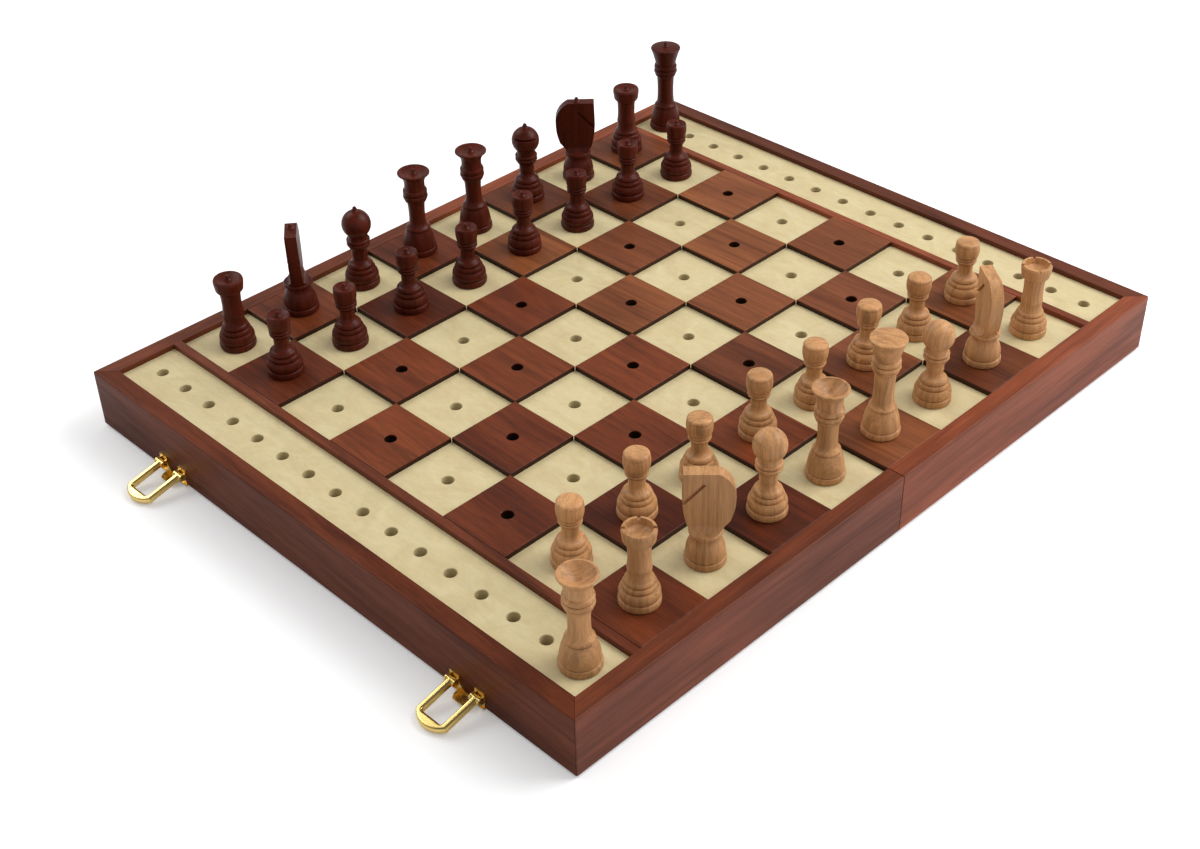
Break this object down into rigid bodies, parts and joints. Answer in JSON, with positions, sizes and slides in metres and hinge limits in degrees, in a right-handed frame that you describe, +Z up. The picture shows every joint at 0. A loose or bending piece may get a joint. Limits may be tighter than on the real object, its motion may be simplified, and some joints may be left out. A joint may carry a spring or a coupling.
{
  "type": "folding tactile chess set",
  "caption": "Folding wooden chess board with raised dark squares, a peg hole in every square, spare strips, brass loop clasps, and pegged turned pieces set up for play.",
  "frame": {"origin": "middle of the open board, on the fold line, level with the undersides of the rails", "axes": "+X from the clasp end to the catch end, +Y from the light pieces' side to the dark pieces' side, +Z up out of the playing surface"},
  "size_m": [0.4117, 0.3128, 0.0781],
  "materials": {
    "rail_wood": "satin varnish",
    "dark_tile_wood": "satin varnish",
    "panel_maple": "satin varnish",
    "light_piece_wood": "gloss varnish",
    "dark_piece_wood": "gloss varnish",
    "polished_brass": "polished",
    "screw_brass": "satin"
  },
  "bodies": {
    "left_half": {"left_back_rail": "rail_wood", "left_dark_squares": "dark_tile_wood", "left_divider_slat": "dark_tile_wood", "left_end_rail": "rail_wood", "left_front_rail": "rail_wood", "left_middle_rail": "rail_wood", "left_panel": "panel_maple", "hinge_leaves_left": "polished_brass", "hinge_screws_left": "screw_brass", "hinge_pins": "polished_brass", "clasp_plates": "polished_brass", "clasp_nails": "polished_brass"},
    "right_half": {"right_back_rail": "rail_wood", "right_dark_squares": "dark_tile_wood", "right_divider_slat": "dark_tile_wood", "right_end_rail": "rail_wood", "right_front_rail": "rail_wood", "right_middle_rail": "rail_wood", "right_panel": "panel_maple", "hinge_leaves_right": "polished_brass", "hinge_screws_right": "screw_brass", "catch_plates": "polished_brass", "catch_nails": "polished_brass"},
    "front_loop": {"clasp_loop_front": "polished_brass"},
    "back_loop": {"clasp_loop_back": "polished_brass"},
    "dark_bishop_c8": {"dark_bishop_c8": "dark_piece_wood"},
    "dark_bishop_f8": {"dark_bishop_f8": "dark_piece_wood"},
    "dark_king": {"dark_king": "dark_piece_wood"},
    "dark_knight_b8": {"dark_knight_b8": "dark_piece_wood"},
    "dark_knight_g8": {"dark_knight_g8": "dark_piece_wood"},
    "dark_pawn_a7": {"dark_pawn_a7": "dark_piece_wood"},
    "dark_pawn_b7": {"dark_pawn_b7": "dark_piece_wood"},
    "dark_pawn_c7": {"dark_pawn_c7": "dark_piece_wood"},
    "dark_pawn_d7": {"dark_pawn_d7": "dark_piece_wood"},
    "dark_pawn_e7": {"dark_pawn_e7": "dark_piece_wood"},
    "dark_pawn_f7": {"dark_pawn_f7": "dark_piece_wood"},
    "dark_pawn_g7": {"dark_pawn_g7": "dark_piece_wood"},
    "dark_pawn_h7": {"dark_pawn_h7": "dark_piece_wood"},
    "dark_queen_d8": {"dark_queen_d8": "dark_piece_wood"},
    "dark_queen_e8": {"dark_queen_e8": "dark_piece_wood"},
    "dark_rook_a8": {"dark_rook_a8": "dark_piece_wood"},
    "dark_rook_h8": {"dark_rook_h8": "dark_piece_wood"},
    "light_bishop_c1": {"light_bishop_c1": "light_piece_wood"},
    "light_bishop_f1": {"light_bishop_f1": "light_piece_wood"},
    "light_king_e1": {"light_king_e1": "light_piece_wood"},
    "light_knight_b1": {"light_knight_b1": "light_piece_wood"},
    "light_knight_g1": {"light_knight_g1": "light_piece_wood"},
    "light_pawn_a2": {"light_pawn_a2": "light_piece_wood"},
    "light_pawn_b2": {"light_pawn_b2": "light_piece_wood"},
    "light_pawn_c2": {"light_pawn_c2": "light_piece_wood"},
    "light_pawn_d2": {"light_pawn_d2": "light_piece_wood"},
    "light_pawn_e2": {"light_pawn_e2": "light_piece_wood"},
    "light_pawn_f2": {"light_pawn_f2": "light_piece_wood"},
    "light_pawn_g2": {"light_pawn_g2": "light_piece_wood"},
    "light_pawn_h2": {"light_pawn_h2": "light_piece_wood"},
    "light_queen_d1": {"light_queen_d1": "light_piece_wood"},
    "light_queen_spare": {"light_queen_spare": "light_piece_wood"},
    "light_rook_a1": {"light_rook_a1": "light_piece_wood"},
    "light_rook_h1": {"light_rook_h1": "light_piece_wood"}
  },
  "joints": [
    {"name": "board_fold", "type": "hinge", "parent": "left_half", "child": "right_half", "pos_m": [0, 0, -0.00015], "axis": [0, 1, 0], "range_deg": [0, 180]},
    {"name": "front_loop_swing", "type": "hinge", "parent": "left_half", "child": "front_loop", "pos_m": [-0.19285, -0.098, 0.005], "axis": [0, -1, 0], "range_deg": [-100, 66.7]},
    {"name": "back_loop_swing", "type": "hinge", "parent": "left_half", "child": "back_loop", "pos_m": [-0.19285, 0.098, 0.005], "axis": [0, -1, 0], "range_deg": [-100, 66.7]},
    {"name": "dark_bishop_c8_lift", "type": "slide", "parent": "left_half", "child": "dark_bishop_c8", "axis": [0, 0, 1], "range_m": [0, 0.03]},
    {"name": "dark_bishop_f8_lift", "type": "slide", "parent": "right_half", "child": "dark_bishop_f8", "axis": [0, 0, 1], "range_m": [0, 0.03]},
    {"name": "dark_king_lift", "type": "slide", "parent": "right_half", "child": "dark_king", "axis": [0, 0, 1], "range_m": [0, 0.03]},
    {"name": "dark_knight_b8_lift", "type": "slide", "parent": "left_half", "child": "dark_knight_b8", "axis": [0, 0, 1], "range_m": [0, 0.03]},
    {"name": "dark_knight_g8_lift", "type": "slide", "parent": "right_half", "child": "dark_knight_g8", "axis": [0, 0, 1], "range_m": [0, 0.03]},
    {"name": "dark_pawn_a7_lift", "type": "slide", "parent": "left_half", "child": "dark_pawn_a7", "axis": [0, 0, 1], "range_m": [0, 0.03]},
    {"name": "dark_pawn_b7_lift", "type": "slide", "parent": "left_half", "child": "dark_pawn_b7", "axis": [0, 0, 1], "range_m": [0, 0.03]},
    {"name": "dark_pawn_c7_lift", "type": "slide", "parent": "left_half", "child": "dark_pawn_c7", "axis": [0, 0, 1], "range_m": [0, 0.03]},
    {"name": "dark_pawn_d7_lift", "type": "slide", "parent": "left_half", "child": "dark_pawn_d7", "axis": [0, 0, 1], "range_m": [0, 0.03]},
    {"name": "dark_pawn_e7_lift", "type": "slide", "parent": "right_half", "child": "dark_pawn_e7", "axis": [0, 0, 1], "range_m": [0, 0.03]},
    {"name": "dark_pawn_f7_lift", "type": "slide", "parent": "right_half", "child": "dark_pawn_f7", "axis": [0, 0, 1], "range_m": [0, 0.03]},
    {"name": "dark_pawn_g7_lift", "type": "slide", "parent": "right_half", "child": "dark_pawn_g7", "axis": [0, 0, 1], "range_m": [0, 0.03]},
    {"name": "dark_pawn_h7_lift", "type": "slide", "parent": "right_half", "child": "dark_pawn_h7", "axis": [0, 0, 1], "range_m": [0, 0.03]},
    {"name": "dark_queen_d8_lift", "type": "slide", "parent": "left_half", "child": "dark_queen_d8", "axis": [0, 0, 1], "range_m": [0, 0.03]},
    {"name": "dark_queen_e8_lift", "type": "slide", "parent": "right_half", "child": "dark_queen_e8", "axis": [0, 0, 1], "range_m": [0, 0.03]},
    {"name": "dark_rook_a8_lift", "type": "slide", "parent": "left_half", "child": "dark_rook_a8", "axis": [0, 0, 1], "range_m": [0, 0.03]},
    {"name": "dark_rook_h8_lift", "type": "slide", "parent": "right_half", "child": "dark_rook_h8", "axis": [0, 0, 1], "range_m": [0, 0.03]},
    {"name": "light_bishop_c1_lift", "type": "slide", "parent": "left_half", "child": "light_bishop_c1", "axis": [0, 0, 1], "range_m": [0, 0.03]},
    {"name": "light_bishop_f1_lift", "type": "slide", "parent": "right_half", "child": "light_bishop_f1", "axis": [0, 0, 1], "range_m": [0, 0.03]},
    {"name": "light_king_e1_lift", "type": "slide", "parent": "right_half", "child": "light_king_e1", "axis": [0, 0, 1], "range_m": [0, 0.03]},
    {"name": "light_knight_b1_lift", "type": "slide", "parent": "left_half", "child": "light_knight_b1", "axis": [0, 0, 1], "range_m": [0, 0.03]},
    {"name": "light_knight_g1_lift", "type": "slide", "parent": "right_half", "child": "light_knight_g1", "axis": [0, 0, 1], "range_m": [0, 0.03]},
    {"name": "light_pawn_a2_lift", "type": "slide", "parent": "left_half", "child": "light_pawn_a2", "axis": [0, 0, 1], "range_m": [0, 0.03]},
    {"name": "light_pawn_b2_lift", "type": "slide", "parent": "left_half", "child": "light_pawn_b2", "axis": [0, 0, 1], "range_m": [0, 0.03]},
    {"name": "light_pawn_c2_lift", "type": "slide", "parent": "left_half", "child": "light_pawn_c2", "axis": [0, 0, 1], "range_m": [0, 0.03]},
    {"name": "light_pawn_d2_lift", "type": "slide", "parent": "left_half", "child": "light_pawn_d2", "axis": [0, 0, 1], "range_m": [0, 0.03]},
    {"name": "light_pawn_e2_lift", "type": "slide", "parent": "right_half", "child": "light_pawn_e2", "axis": [0, 0, 1], "range_m": [0, 0.03]},
    {"name": "light_pawn_f2_lift", "type": "slide", "parent": "right_half", "child": "light_pawn_f2", "axis": [0, 0, 1], "range_m": [0, 0.03]},
    {"name": "light_pawn_g2_lift", "type": "slide", "parent": "right_half", "child": "light_pawn_g2", "axis": [0, 0, 1], "range_m": [0, 0.03]},
    {"name": "light_pawn_h2_lift", "type": "slide", "parent": "right_half", "child": "light_pawn_h2", "axis": [0, 0, 1], "range_m": [0, 0.03]},
    {"name": "light_queen_d1_lift", "type": "slide", "parent": "left_half", "child": "light_queen_d1", "axis": [0, 0, 1], "range_m": [0, 0.03]},
    {"name": "light_queen_spare_lift", "type": "slide", "parent": "left_half", "child": "light_queen_spare", "axis": [0, 0, 1], "range_m": [0, 0.03]},
    {"name": "light_rook_a1_lift", "type": "slide", "parent": "left_half", "child": "light_rook_a1", "axis": [0, 0, 1], "range_m": [0, 0.03]},
    {"name": "light_rook_h1_lift", "type": "slide", "parent": "right_half", "child": "light_rook_h1", "axis": [0, 0, 1], "range_m": [0, 0.03]}
  ]
}
